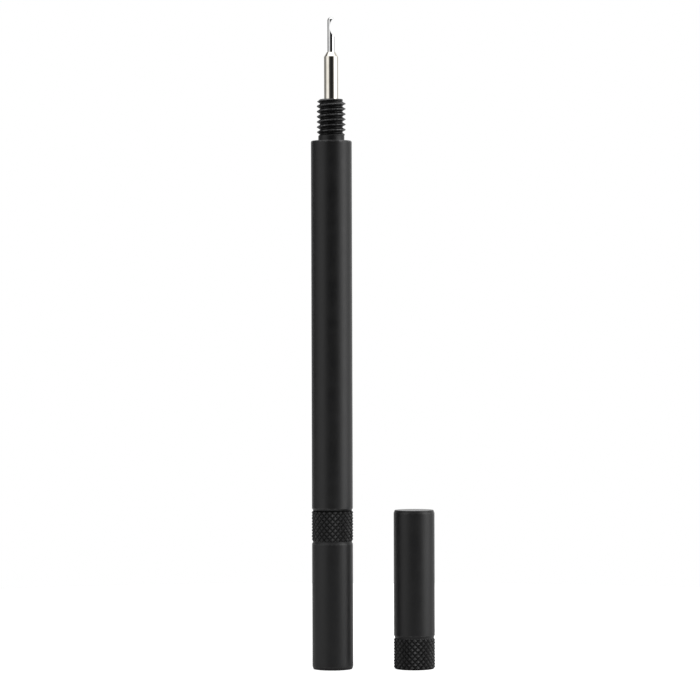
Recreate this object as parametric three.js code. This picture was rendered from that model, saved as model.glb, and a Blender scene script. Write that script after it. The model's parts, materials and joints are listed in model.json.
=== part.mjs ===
// Double-ended deburring tool, standing on the closed end of its rear cap, with the front cap taken off and
// standing beside it on the +X side, mouth down. Units: mm, +Z up. The origin is the centre of the rear cap's
// closed end face, on the tool's own axis.
//
// Both ends of the tool are the same turned stack, drawn in a local frame where z is the distance outward from
// the mating plane of that end. The rear stack is the front one turned half a turn about X, so both threads stay
// right-handed. A cap and its sealing ring are drawn with z measured inward from the cap's mouth, which is the
// same frame when the cap is screwed home.

import * as THREE from "three";

// ---- driving dimensions ----
const CAP_LENGTH = 43.1; // mouth to closed end
const REAR_PLANE = CAP_LENGTH; // world z of the mating planes
const FRONT_PLANE = 143.5;
const FRONT_CAP_X = 22.2; // where the removed cap stands
const BODY_R = 5.556; // barrel and cap, 7/16 in bar
const FIT_GAP = 0.03; // between parts that meet, cap mouth and barrel end included
const WIDE_GAP = 0.04;

// pockets in each end of the barrel
const BORE_R = 4.0;
const BORE_FLOOR = -12.3;
const PILOT_R = 2.1;
const PILOT_FLOOR = -18.1;

// nose, apart from its thread
const NOSE_END = 11.3;
const NOSE_BORE_R = 2.02;
const SPIGOT_END = -9.5;
const BUSH_POCKET_R = 2.45;
const BUSH_POCKET_END = 4.3;

// spindle and the rod that both blades are ground from
const SPINDLE_BACK = -13.5;
const GROOVE_FROM = -10.5;
const GROOVE_TO = -9.94;
const SOCKET_FLOOR = 17.1;
const BLADE_R = 1.0;
const BLADE_FROM = SOCKET_FLOOR + 0.1;
const BLADE_TIP = 33.7;

// screw thread, 5/16-18 proportions
const PITCH = 25.4 / 18;
const HALF_PITCH = PITCH / 2;
const CREST_AT = 0.23; // z of an external crest line at angle zero
const RIM_SNAP = 0.03; // a thread row that comes this close to a rim ends on it

const SEGMENTS = 24; // around most turned pieces

// ---- skins: a turned piece is a closed chain of rings about Z ----
const polar = (radius, angle, z) => [radius * Math.cos(angle), radius * Math.sin(angle), z];

// The angle of one of `count` equal steps round a full turn.
const stepAngle = (step, count) => (2 * Math.PI * step) / count;

// A ring of zero radius is a single point.
const ring = (radius, z, segments) =>
  Array.from({ length: radius === 0 ? 1 : segments }, (_, i) =>
    polar(radius, stepAngle(i, segments), z),
  );

// Rings from a profile of [radius, z] corners.
const ringsOf = (profile, segments = SEGMENTS) =>
  profile.map(([radius, z]) => ring(radius, z, segments));

// Triangles between two rings, which may have different numbers of points.
function band(triangles, lower, upper) {
  const lowerCount = lower.length;
  const upperCount = upper.length;
  let i = lowerCount === 1 ? 1 : 0;
  let j = upperCount === 1 ? 1 : 0;
  while (i < lowerCount || j < upperCount) {
    const nextLower = i < lowerCount ? (i + 1) / lowerCount : Infinity;
    const nextUpper = j < upperCount ? (j + 1) / upperCount : Infinity;
    const start = lower[i % lowerCount];
    const end = upper[j % upperCount];
    if (nextLower <= nextUpper) {
      triangles.push([start, lower[(i + 1) % lowerCount], end]);
      i++;
    } else {
      triangles.push([start, upper[(j + 1) % upperCount], end]);
      j++;
    }
  }
}

function chain(triangles, rings) {
  for (let k = 0; k + 1 < rings.length; k++) band(triangles, rings[k], rings[k + 1]);
}

// A threaded band between two rims, each given as { radius, z }. Its rows follow the helix, so that every flank
// is a clean ruled strip. corners lists the profile inside one pitch as [offset from the crest line, radius];
// shape(radius, z) trims it near the rims. An internal thread faces the axis, so its triangles are flipped.
function helixBand(triangles, { segments, from, to, corners, shape, internal = false }) {
  const rows = [];
  const first = Math.floor((from.z - PITCH - CREST_AT - corners[0][0]) / PITCH);
  for (let turn = first; CREST_AT + (turn - 1) * PITCH <= to.z; turn++) {
    for (const [offset, radius] of corners) {
      rows.push([CREST_AT + turn * PITCH + offset, radius]);
    }
  }
  const pointAt = (step, [start, radius]) => {
    const z = start + (PITCH * step) / segments;
    const angle = stepAngle(step % segments, segments);
    if (z <= from.z + RIM_SNAP) return polar(from.radius, angle, from.z);
    if (z >= to.z - RIM_SNAP) return polar(to.radius, angle, to.z);
    return polar(shape(radius, z), angle, z);
  };
  for (let i = 0; i < segments; i++) {
    for (let k = 0; k + 1 < rows.length; k++) {
      const near = pointAt(i, rows[k]);
      const nearNext = pointAt(i + 1, rows[k]);
      const farNext = pointAt(i + 1, rows[k + 1]);
      const far = pointAt(i, rows[k + 1]);
      if (internal) triangles.push([near, far, nearNext], [nearNext, far, farNext]);
      else triangles.push([near, nearNext, far], [nearNext, farNext, far]);
    }
  }
}

// Shared vertices, without the triangles that collapsed.
function geometryOf(triangles) {
  const keysPerMm = 2e4; // points that round to the same key are one vertex
  const index = [];
  const points = [];
  const seen = new Map();
  const vertexOf = (point) => {
    const key = point.map((value) => Math.round(value * keysPerMm)).join();
    if (!seen.has(key)) {
      seen.set(key, points.length / 3);
      points.push(...point);
    }
    return seen.get(key);
  };
  for (const triangle of triangles) {
    const vertices = triangle.map(vertexOf);
    if (new Set(vertices).size === 3) index.push(...vertices);
  }
  const geometry = new THREE.BufferGeometry();
  geometry.setAttribute("position", new THREE.Float32BufferAttribute(points, 3));
  geometry.setIndex(index);
  geometry.computeVertexNormals();
  return geometry;
}

function turned(rings) {
  const triangles = [];
  chain(triangles, rings);
  return geometryOf(triangles);
}

// A piece with a hole right through: its profile closes on itself.
const turnedHoop = (profile) => turned(ringsOf([...profile, profile[0]]));

// ---- barrel, drawn in the world frame ----
const BARREL_SEGMENTS = 48; // around the outside
const FRONT_BREAK = { radial: 0.13, axial: 0.35 }; // edge breaks of the barrel
const REAR_BREAK = { radial: 0.28, axial: 0.5 };

// One end, from the middle of the pilot floor out and round to the barrel's outside.
// worldZ turns a local z into a world one.
function barrelEnd(worldZ, edgeBreak) {
  const pocket = [
    [0, worldZ(PILOT_FLOOR)],
    [PILOT_R, worldZ(PILOT_FLOOR)],
    [PILOT_R, worldZ(BORE_FLOOR)],
    [BORE_R, worldZ(BORE_FLOOR)],
    [BORE_R, worldZ(-FIT_GAP)],
  ];
  const outside = [
    [BODY_R - edgeBreak.radial, worldZ(-FIT_GAP)],
    [BODY_R, worldZ(-FIT_GAP - edgeBreak.axial)],
  ];
  return [...ringsOf(pocket), ...ringsOf(outside, BARREL_SEGMENTS)];
}

function barrel() {
  const rear = barrelEnd((z) => REAR_PLANE - z, REAR_BREAK);
  const front = barrelEnd((z) => FRONT_PLANE + z, FRONT_BREAK);
  return turned([...rear, ...front.reverse()]);
}

// ---- nose: a spigot that fits the barrel's pocket, a plain neck, and the external thread ----
const SPIGOT_R = 3.95;
const SPIGOT_BREAK = 0.25;
const NECK_R = 3.55;
const NOSE_TIP_R = 3.1;
const NOSE_TIP_SLOPE = 1.25; // radius gained per mm back from the tip
const NOSE_BORE_BREAK = 0.18;
const EXT_CREST_R = 3.93;
const EXT_ROOT_R = 3.1;
const EXT_CREST_FLAT = 0.18;
const EXT_ROOT_FLAT = 0.27;
const EXT_FROM = 1.8; // the thread runs out into the neck here
const EXT_CREST_FADE = 1.2; // lengths over which it reaches full height and depth
const EXT_ROOT_FADE = 0.5;

function externalRadius(radius, z) {
  const fade = radius > NECK_R ? EXT_CREST_FADE : EXT_ROOT_FADE;
  const grown = Math.min(1, (z - EXT_FROM) / fade);
  const tipCone = NOSE_TIP_R + (NOSE_END - z) * NOSE_TIP_SLOPE;
  return Math.min(NECK_R + (radius - NECK_R) * grown, tipCone);
}

function nose() {
  const triangles = [];
  const outside = [
    [BUSH_POCKET_R, SPIGOT_END],
    [SPIGOT_R - SPIGOT_BREAK, SPIGOT_END],
    [SPIGOT_R, SPIGOT_END + SPIGOT_BREAK],
    [SPIGOT_R, -FIT_GAP],
    [NECK_R, -FIT_GAP],
    [NECK_R, EXT_FROM],
  ];
  const inside = [
    [NOSE_TIP_R, NOSE_END],
    [NOSE_BORE_R + NOSE_BORE_BREAK, NOSE_END],
    [NOSE_BORE_R, NOSE_END - NOSE_BORE_BREAK],
    [NOSE_BORE_R, BUSH_POCKET_END],
    [BUSH_POCKET_R, BUSH_POCKET_END],
    [BUSH_POCKET_R, SPIGOT_END],
  ];
  chain(triangles, ringsOf(outside));
  helixBand(triangles, {
    segments: SEGMENTS,
    from: { radius: NECK_R, z: EXT_FROM },
    to: { radius: NOSE_TIP_R, z: NOSE_END },
    corners: [
      [-EXT_CREST_FLAT / 2, EXT_CREST_R],
      [EXT_CREST_FLAT / 2, EXT_CREST_R],
      [HALF_PITCH - EXT_ROOT_FLAT / 2, EXT_ROOT_R],
      [HALF_PITCH + EXT_ROOT_FLAT / 2, EXT_ROOT_R],
    ],
    shape: externalRadius,
  });
  chain(triangles, ringsOf(inside));
  return geometryOf(triangles);
}

// ---- bearing pieces ----
const BUSH_R = BUSH_POCKET_R - FIT_GAP;
const BUSH_FROM = SPIGOT_END + 0.02;
const BUSH_TO = BUSH_POCKET_END - WIDE_GAP;
const BUSH_BREAK = { radial: 0.2, axial: 0.25 };
const WASHER_IN_R = 2.06;
const WASHER_OUT_R = 3.1;
const WASHER_FROM = GROOVE_TO;
const WASHER_TO = SPIGOT_END - WIDE_GAP;
const CLIP_IN_R = 1.55;
const CLIP_OUT_R = WASHER_OUT_R;
const CLIP_FROM = GROOVE_FROM + FIT_GAP;
const CLIP_TO = WASHER_FROM - FIT_GAP;
const CLIP_OPENING = THREE.MathUtils.degToRad(70); // centred on +X
const CLIP_STEPS = 18;
const BALL_R = 1.75;
const BALL_AT = SPINDLE_BACK - FIT_GAP - BALL_R;
const BALL_SEGMENTS = { around: 14, poleToPole: 8 };
const PAD_R = 2.0;
const PAD_BREAK = 0.2;
const PAD_FROM = PILOT_FLOOR + FIT_GAP;
const PAD_TO = BALL_AT - BALL_R - FIT_GAP;
const PAD_SEGMENTS = 20;

const bush = () =>
  turnedHoop([
    [NOSE_BORE_R, BUSH_FROM],
    [BUSH_R, BUSH_FROM],
    [BUSH_R, BUSH_TO - BUSH_BREAK.axial],
    [BUSH_R - BUSH_BREAK.radial, BUSH_TO],
    [NOSE_BORE_R, BUSH_TO],
  ]);

const washer = () =>
  turnedHoop([
    [WASHER_IN_R, WASHER_FROM],
    [WASHER_OUT_R, WASHER_FROM],
    [WASHER_OUT_R, WASHER_TO],
    [WASHER_IN_R, WASHER_TO],
  ]);

// An open ring that snaps into the spindle's groove.
function clip() {
  const section = (step) => {
    const angle = CLIP_OPENING / 2 + ((2 * Math.PI - CLIP_OPENING) * step) / CLIP_STEPS;
    return [
      polar(CLIP_IN_R, angle, CLIP_FROM),
      polar(CLIP_OUT_R, angle, CLIP_FROM),
      polar(CLIP_OUT_R, angle, CLIP_TO),
      polar(CLIP_IN_R, angle, CLIP_TO),
    ];
  };
  const triangles = [];
  for (let k = 0; k < CLIP_STEPS; k++) {
    const here = section(k);
    const next = section(k + 1);
    for (let i = 0; i < 4; i++) {
      const j = (i + 1) % 4;
      triangles.push([next[i], here[j], here[i]], [next[i], next[j], here[j]]);
    }
  }
  const first = section(0);
  const last = section(CLIP_STEPS);
  triangles.push([first[0], first[1], first[2]], [first[0], first[2], first[3]]);
  triangles.push([last[0], last[2], last[1]], [last[0], last[3], last[2]]);
  return geometryOf(triangles);
}

// Sits between the spindle's back face and the thrust pad, its poles on the axis.
const ball = () =>
  new THREE.SphereGeometry(BALL_R, BALL_SEGMENTS.around, BALL_SEGMENTS.poleToPole)
    .rotateX(Math.PI / 2)
    .translate(0, 0, BALL_AT);

function thrustPad() {
  const profile = [
    [0, PAD_FROM],
    [PAD_R - PAD_BREAK, PAD_FROM],
    [PAD_R, PAD_FROM + PAD_BREAK],
    [PAD_R, PAD_TO],
    [0, PAD_TO],
  ];
  return turned(ringsOf(profile, PAD_SEGMENTS));
}

// ---- spindle: grooved near the back, coned at the end, with a blind socket for the blade ----
const SPINDLE_R = 1.95;
const SPINDLE_BREAK = 0.25;
const GROOVE_R = 1.45;
const CONE_FROM = 22.87;
const CONE_TO = 24.1;
const CONE_TIP_R = 1.22;
const SOCKET_R = BLADE_R + WIDE_GAP;
const SOCKET_POINT = 0.5; // depth of the conical floor

function spindle() {
  const profile = [
    [0, SPINDLE_BACK],
    [SPINDLE_R - SPINDLE_BREAK, SPINDLE_BACK],
    [SPINDLE_R, SPINDLE_BACK + SPINDLE_BREAK],
    [SPINDLE_R, GROOVE_FROM],
    [GROOVE_R, GROOVE_FROM],
    [GROOVE_R, GROOVE_TO],
    [SPINDLE_R, GROOVE_TO],
    [SPINDLE_R, CONE_FROM],
    [CONE_TIP_R, CONE_TO],
    [SOCKET_R, CONE_TO],
    [SOCKET_R, SOCKET_FLOOR],
    [0, SOCKET_FLOOR - SOCKET_POINT],
  ];
  return turned(ringsOf(profile));
}

// ---- front blade: a round rod with a bullet end and a hollow ground across its +X side, leaving a hooked lip ----
const BLADE_BREAK = 0.15; // at the socket end of both blades
const BULLET_FROM = BLADE_TIP - BLADE_R;
const LAST_SECTION = BLADE_TIP - 0.07;
const NOTCH_X = 2.9; // centre of the hollow, a cylinder lying across the blade along Y
const NOTCH_Z = 30.95;
const NOTCH_R = 3.3;
const NOTCH_STEPS = 13;
const MIN_CUT = 1e-4; // a shallower cut leaves the section round
const NOTCH_END_TOLERANCE = 1e-6;
const ARC_POINTS = 16; // of a section, on its arc and on its cut side
const FLAT_POINTS = 4;

const rodRadius = (z) =>
  z > BULLET_FROM ? Math.sqrt(BLADE_R ** 2 - (z - BULLET_FROM) ** 2) : BLADE_R;

// x of the hollow's surface
const hollowX = (z) =>
  Math.abs(z - NOTCH_Z) < NOTCH_R
    ? NOTCH_X - Math.sqrt(NOTCH_R ** 2 - (z - NOTCH_Z) ** 2)
    : Infinity;

// A circle cut off at the hollow, with a corner exactly on each cutting edge.
function notchSection(z) {
  const radius = rodRadius(z);
  const x = Math.min(radius, hollowX(z));
  const cutAngle = x < radius - MIN_CUT ? Math.acos(x / radius) : 0;
  const points = [];
  for (let i = 0; i < ARC_POINTS; i++) {
    const angle = cutAngle + ((2 * Math.PI - 2 * cutAngle) * i) / ARC_POINTS;
    points.push(polar(radius, angle, z));
  }
  const flatX = cutAngle ? x : radius;
  const halfWidth = radius * Math.sin(cutAngle);
  for (let i = 0; i < FLAT_POINTS; i++) {
    points.push([flatX, halfWidth * (-1 + (2 * i) / FLAT_POINTS), z]);
  }
  return points;
}

// z where the hollow leaves the bullet end, found by bisection
function notchEnd() {
  let [inside, beyond] = [BULLET_FROM, BLADE_TIP];
  while (beyond - inside > NOTCH_END_TOLERANCE) {
    const middle = (inside + beyond) / 2;
    if (hollowX(middle) < rodRadius(middle)) inside = middle;
    else beyond = middle;
  }
  return inside;
}

function notchBlade() {
  const from = NOTCH_Z - Math.sqrt(NOTCH_R ** 2 - (NOTCH_X - BLADE_R) ** 2);
  const to = notchEnd();
  const sectionPoints = ARC_POINTS + FLAT_POINTS;
  const notchSections = Array.from({ length: NOTCH_STEPS + 1 }, (_, k) =>
    notchSection(from + ((to - from) * k) / NOTCH_STEPS),
  );
  return turned([
    ring(0, BLADE_FROM, sectionPoints),
    ring(BLADE_R - BLADE_BREAK, BLADE_FROM, sectionPoints),
    notchSection(BLADE_FROM + BLADE_BREAK),
    ...notchSections,
    notchSection(LAST_SECTION),
    ring(0, BLADE_TIP, sectionPoints),
  ]);
}

// ---- rear blade: the same rod ground with three flats that meet in a point ----
const POINT_LENGTH = 6.4;
const POINT_STATIONS = [1, 0.93, 0.82, 0.7, 0.6, 0.5]; // back from the tip, in point lengths
const FLAT_SPACING = (2 * Math.PI) / 3;

function pointSection(station) {
  const flatDistance = BLADE_R * station; // from the axis
  const z = BLADE_TIP - station * POINT_LENGTH;
  return Array.from({ length: SEGMENTS }, (_, i) => {
    const angle = stepAngle(i, SEGMENTS);
    const fromFlatMiddle = ((angle + FLAT_SPACING / 2) % FLAT_SPACING) - FLAT_SPACING / 2;
    return polar(Math.min(BLADE_R, flatDistance / Math.cos(fromFlatMiddle)), angle, z);
  });
}

function pointBlade() {
  const socketEnd = [
    [0, BLADE_FROM],
    [BLADE_R - BLADE_BREAK, BLADE_FROM],
    [BLADE_R, BLADE_FROM + BLADE_BREAK],
  ];
  return turned([
    ...ringsOf(socketEnd),
    ...POINT_STATIONS.map(pointSection),
    ring(0, BLADE_TIP, SEGMENTS),
  ]);
}

// ---- cap: knurled at the mouth, plain beyond a vee groove, closed at the far end ----
const CAP_SEGMENTS = 44; // two columns to each knurl diamond
const MOUTH_R = 5.2; // outer edge of the mouth face, below the broken edge
const KNURL_FROM = 0.55;
const KNURL_TO = 7.86;
const KNURL_ROWS = 9; // half-diamonds along the band
const KNURL_PEAK_R = 5.64;
const KNURL_VALLEY_R = 5.27;
const VEE_AT = 8.5;
const VEE_TO = 9.14;
const VEE_R = 5.26;
const END_BREAK = { radial: 0.3, axial: 0.78 };

const CAP_BORE_SEGMENTS = 20;
const RING_SEAT_R = 4.93;
const RING_SEAT_DEPTH = 0.95;
const LEAD_R = 4.1; // plain bore ahead of the internal thread
const INT_CREST_R = 3.3;
const INT_ROOT_R = 4.05;
const INT_RIDGE = 0.3; // width of an internal ridge at its crest
const INT_FLANK = 0.433; // length of a flank along the axis
const INT_FROM = 3.62;
const INT_TO = 12.53;
const INT_LEAD_SLOPE = 1.2; // radius lost per mm where the thread starts
const CAP_BORE_END = 36.5;
const CAP_CONE_END = 38.2;

const isKnurlPeak = (row, column) => (row + column) % 2 === 0;

function knurlRing(row) {
  const z = KNURL_FROM + ((KNURL_TO - KNURL_FROM) * row) / KNURL_ROWS;
  return Array.from({ length: CAP_SEGMENTS }, (_, column) => {
    const radius = isKnurlPeak(row, column) ? KNURL_PEAK_R : KNURL_VALLEY_R;
    return polar(radius, stepAngle(column, CAP_SEGMENTS), z);
  });
}

// Each cell is split along its groove, which joins the two valley corners.
function knurl(triangles) {
  for (let row = 0; row < KNURL_ROWS; row++) {
    const near = knurlRing(row);
    const far = knurlRing(row + 1);
    for (let j = 0; j < CAP_SEGMENTS; j++) {
      const k = (j + 1) % CAP_SEGMENTS;
      if (isKnurlPeak(row, j)) triangles.push([near[j], near[k], far[j]], [near[k], far[k], far[j]]);
      else triangles.push([near[j], far[k], far[j]], [near[j], near[k], far[k]]);
    }
  }
}

function capOutside(triangles) {
  const seatRim = ring(RING_SEAT_R, 0, CAP_SEGMENTS);
  chain(triangles, [seatRim, ring(MOUTH_R, 0, CAP_SEGMENTS), knurlRing(0)]);
  knurl(triangles);
  const plain = [
    [VEE_R, VEE_AT],
    [BODY_R, VEE_TO],
    [BODY_R, CAP_LENGTH - END_BREAK.axial],
    [BODY_R - END_BREAK.radial, CAP_LENGTH],
    [0, CAP_LENGTH],
  ];
  chain(triangles, [knurlRing(KNURL_ROWS), ...ringsOf(plain, CAP_SEGMENTS)]);
}

// The thread tapers in from the lead and closes at 45 degrees onto the clearance bore.
const internalRadius = (radius, z) =>
  Math.min(
    Math.max(radius, LEAD_R - (z - INT_FROM) * INT_LEAD_SLOPE),
    INT_CREST_R + (INT_TO - z),
  );

// From the drilled end back to the mouth: clearance bore, thread, plain lead and sealing ring seat.
// The thread's roots lie on the external crest line.
function capInside(triangles) {
  const clearance = [
    [0, CAP_CONE_END],
    [INT_CREST_R, CAP_BORE_END],
    [INT_CREST_R, INT_TO],
  ];
  const lead = [
    [LEAD_R, INT_FROM],
    [LEAD_R, RING_SEAT_DEPTH],
  ];
  const seat = [
    [RING_SEAT_R, RING_SEAT_DEPTH],
    [RING_SEAT_R, 0],
  ];
  const rootHalf = HALF_PITCH - INT_RIDGE / 2 - INT_FLANK;
  chain(triangles, ringsOf(clearance, CAP_BORE_SEGMENTS));
  helixBand(triangles, {
    segments: CAP_BORE_SEGMENTS,
    from: { radius: LEAD_R, z: INT_FROM },
    to: { radius: INT_CREST_R, z: INT_TO },
    corners: [
      [-rootHalf, INT_ROOT_R],
      [rootHalf, INT_ROOT_R],
      [HALF_PITCH - INT_RIDGE / 2, INT_CREST_R],
      [HALF_PITCH + INT_RIDGE / 2, INT_CREST_R],
    ],
    shape: internalRadius,
    internal: true,
  });
  chain(triangles, [...ringsOf(lead, CAP_BORE_SEGMENTS), ...ringsOf(seat, CAP_SEGMENTS)]);
}

function cap() {
  const triangles = [];
  capOutside(triangles);
  capInside(triangles);
  return geometryOf(triangles);
}

// ---- sealing ring in the cap's mouth ----
const ORING_R = 4.46; // to the middle of the section
const ORING_SECTION_R = 0.43;
const ORING_AT = 0.49;
const ORING_SEGMENTS = { section: 8, around: 28 };

const oring = () =>
  new THREE.TorusGeometry(
    ORING_R,
    ORING_SECTION_R,
    ORING_SEGMENTS.section,
    ORING_SEGMENTS.around,
  ).translate(0, 0, ORING_AT);

// ---- materials ----
const BLACK = { color: 0x1b1c1e, roughness: 0.42, metalness: 0.55 };
const CHROME = { color: 0xc9c6bf, roughness: 0.12, metalness: 1.0 };
const TOOL_STEEL = { color: 0x6d6e70, roughness: 0.34, metalness: 0.95 };
const BRONZE = { color: 0xa9793f, roughness: 0.45, metalness: 0.85 };
const SPRING_STEEL = { color: 0x3a3c40, roughness: 0.4, metalness: 0.9 };
const BRIGHT_STEEL = { color: 0xb4b6b8, roughness: 0.2, metalness: 1.0 };
const RUBBER = { color: 0x151515, roughness: 0.8, metalness: 0.0 };

// ---- assembly ----
const toFront = (geometry) => geometry.translate(0, 0, FRONT_PLANE);
const toRear = (geometry) => geometry.rotateX(Math.PI).translate(0, 0, REAR_PLANE);
const toStand = (geometry) => geometry.translate(FRONT_CAP_X, 0, 0);

const tool = new THREE.Group();
tool.name = "deburring_tool";

function add(name, geometry, look) {
  const mesh = new THREE.Mesh(geometry, new THREE.MeshStandardMaterial(look));
  mesh.name = name;
  tool.add(mesh);
}

add("barrel", barrel(), BLACK);
for (const [end, place, blade] of [
  ["front", toFront, notchBlade],
  ["rear", toRear, pointBlade],
]) {
  add(`${end}_nose`, place(nose()), BLACK);
  add(`${end}_bush`, place(bush()), BRONZE);
  add(`${end}_spindle`, place(spindle()), CHROME);
  add(`${end}_blade`, place(blade()), TOOL_STEEL);
  add(`${end}_washer`, place(washer()), BRIGHT_STEEL);
  add(`${end}_clip`, place(clip()), SPRING_STEEL);
  add(`${end}_ball`, place(ball()), BRIGHT_STEEL);
  add(`${end}_thrust_pad`, place(thrustPad()), BRIGHT_STEEL);
}
for (const [end, place] of [
  ["rear", toRear],
  ["front", toStand],
]) {
  add(`${end}_cap`, place(cap()), BLACK);
  add(`${end}_cap_oring`, place(oring()), RUBBER);
}

export default tool;
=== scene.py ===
"""A double-ended hand tool with a blade at each end.

The tool stands upright along Z with its front blade up and bare. Its knurled rear cap is on and
covers the rear blade. The front cap is off: it stands beside the tool along X, mouth down.
The camera looks along +Y, with +X to the right.
"""

import json
import math
from functools import cached_property

import bmesh
import bpy
import numpy as np
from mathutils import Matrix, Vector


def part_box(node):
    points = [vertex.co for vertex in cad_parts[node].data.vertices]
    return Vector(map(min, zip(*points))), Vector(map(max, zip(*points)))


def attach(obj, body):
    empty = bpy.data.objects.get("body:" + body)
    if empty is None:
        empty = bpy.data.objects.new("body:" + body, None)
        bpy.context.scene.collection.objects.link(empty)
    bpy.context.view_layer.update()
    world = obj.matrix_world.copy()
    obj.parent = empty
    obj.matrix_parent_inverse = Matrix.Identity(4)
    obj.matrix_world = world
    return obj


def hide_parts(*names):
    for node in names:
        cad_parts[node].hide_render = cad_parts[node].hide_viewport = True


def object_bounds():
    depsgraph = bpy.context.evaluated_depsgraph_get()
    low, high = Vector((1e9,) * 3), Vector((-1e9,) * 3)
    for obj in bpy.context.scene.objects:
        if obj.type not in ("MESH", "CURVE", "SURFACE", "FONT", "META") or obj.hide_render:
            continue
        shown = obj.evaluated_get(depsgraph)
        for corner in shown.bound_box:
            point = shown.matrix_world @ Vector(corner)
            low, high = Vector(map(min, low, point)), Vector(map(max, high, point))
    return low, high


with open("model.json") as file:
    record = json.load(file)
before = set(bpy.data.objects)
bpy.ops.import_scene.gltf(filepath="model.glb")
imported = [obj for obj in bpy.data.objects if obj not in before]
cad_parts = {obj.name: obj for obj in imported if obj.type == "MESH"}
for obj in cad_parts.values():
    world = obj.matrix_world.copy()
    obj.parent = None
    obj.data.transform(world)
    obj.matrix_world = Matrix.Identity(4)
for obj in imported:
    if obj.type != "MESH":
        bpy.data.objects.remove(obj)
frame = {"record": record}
cad_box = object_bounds()
record = frame["record"]
bodies = record["behaviour"]["bodies"]
slots = {part["node"]: part["material_slot"] for part in record["subparts"]}
body_of_node = {node: body for body, nodes in bodies.items() for node in nodes}

MM = 0.001
X, Z = 0, 2


def low(node, axis):
    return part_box(node)[0][axis] / MM


def high(node, axis):
    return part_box(node)[1][axis] / MM


def extent(node, axis):
    return high(node, axis) - low(node, axis)


def middle(node, axis):
    return (high(node, axis) + low(node, axis)) / 2


# ---- sizes read from the frame (mm) ----
# Each end has its own frame: z runs outwards from that end's joint plane.
JOINT_GAP = 0.03
REAR_GAP = 0.05
REAR_PLANE = high("rear_cap", Z)
FRONT_PLANE = high("barrel", Z) + JOINT_GAP
CAP_LENGTH = extent("front_cap", Z)
CAP_X = middle("front_cap", X)
BODY_R = high("barrel", X)
SPINDLE_R = high("front_spindle", X)
SPINDLE_BACK = low("front_spindle", Z) - FRONT_PLANE
SPINDLE_TIP = high("front_spindle", Z) - FRONT_PLANE
BLADE_R = -low("front_blade", X)
BLADE_BACK = low("front_blade", Z) - FRONT_PLANE
BLADE_TIP = high("front_blade", Z) - FRONT_PLANE
NOSE_BACK = low("front_nose", Z) - FRONT_PLANE
NOSE_TIP = high("front_nose", Z) - FRONT_PLANE
KNURL_R = extent("front_cap", X) / 2
RING_OUTER_R = high("rear_cap_oring", X)
RING_SECTION_R = extent("rear_cap_oring", Z) / 2
RING_Z = REAR_PLANE - middle("rear_cap_oring", Z)
BALL_R = extent("front_ball", Z) / 2
BALL_Z = middle("front_ball", Z) - FRONT_PLANE

# ---- sizes of the details (mm) ----
PITCH = 25.4 / 18
HALF_PITCH = PITCH / 2
CREST_Z = 0.23  # where a thread crest crosses the +X side
NECK_R = 3.55
SPIGOT_R = 3.95
EXT_CREST_R, EXT_ROOT_R, EXT_FROM = 3.93, 3.1, 1.3
EXT_CREST_HALF, EXT_ROOT_HALF = 0.09, 0.135
INT_CREST_R, INT_ROOT_R, INT_FROM, INT_TO = 3.3, 4.05, 3.62, 12.53
INT_CREST_HALF, INT_FLANK = 0.15, 0.433
LEAD_R = 4.1
NOSE_BORE_R, BUSH_SEAT_R, BUSH_SEAT_END = 2.02, 2.45, 4.3
# broken edges: how far in, how far along
FRONT_BREAK, REAR_BREAK, END_BREAK = (0.13, 0.35), (0.28, 0.5), (0.3, 0.78)
MOUTH_R = 5.2
KNURL_FROM, KNURL_TO, KNURL_ROWS, KNURL_COLUMNS = 0.55, 7.86, 9, 44
KNURL_VALLEY_R = 5.27
VEE_Z, VEE_TO, VEE_R = 8.5, 9.14, 5.26
RING_SEAT_R, RING_SEAT_DEPTH = 4.93, 0.95
CAP_BORE_END, CAP_CONE_END = 36.5, 38.2
BORE_R, BORE_FLOOR, PILOT_R, PILOT_FLOOR = 4.0, -12.3, 2.1, -18.1
GROOVE_R, GROOVE_FROM, GROOVE_TO = 1.45, -10.5, -9.94
WASHER_INNER_R, WASHER_OUTER_R, WASHER_TO = 2.06, 3.1, -9.54
CLIP_FROM, CLIP_TO = -10.47, -9.97
CLIP_INNER_R, CLIP_OUTER_R = 1.55, 3.1
SOCKET_R, SOCKET_EDGE_Z, SOCKET_FLOOR = 1.04, 17.1, 16.6
NOTCH_X, NOTCH_Z, NOTCH_R = 2.9, 30.95, 3.3
POINT_LENGTH = 6.4
BLADE_CHAMFER = 0.15
# points round the turned skins
BODY_SIDES, SMALL_SIDES, SPINDLE_SIDES, RING_SIDES, BALL_SIDES = 176, 96, 128, 128, 80

# ---- where a piece goes: (turn, x, z); turn -1 is half a turn about X ----
IN_WORLD = (1, 0, 0)
AT_FRONT = (1, 0, FRONT_PLANE)
AT_REAR = (-1, 0, REAR_PLANE)
AT_LOOSE_CAP = (1, CAP_X, 0)


# ---- skins ----
LEAST_TURN = 0.03  # radians; a flatter corner is left alone
MOST_CUT = 0.42  # the share of a side that one rounding may take


def unit(value):
    return max(0.0, min(1.0, value))


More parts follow.
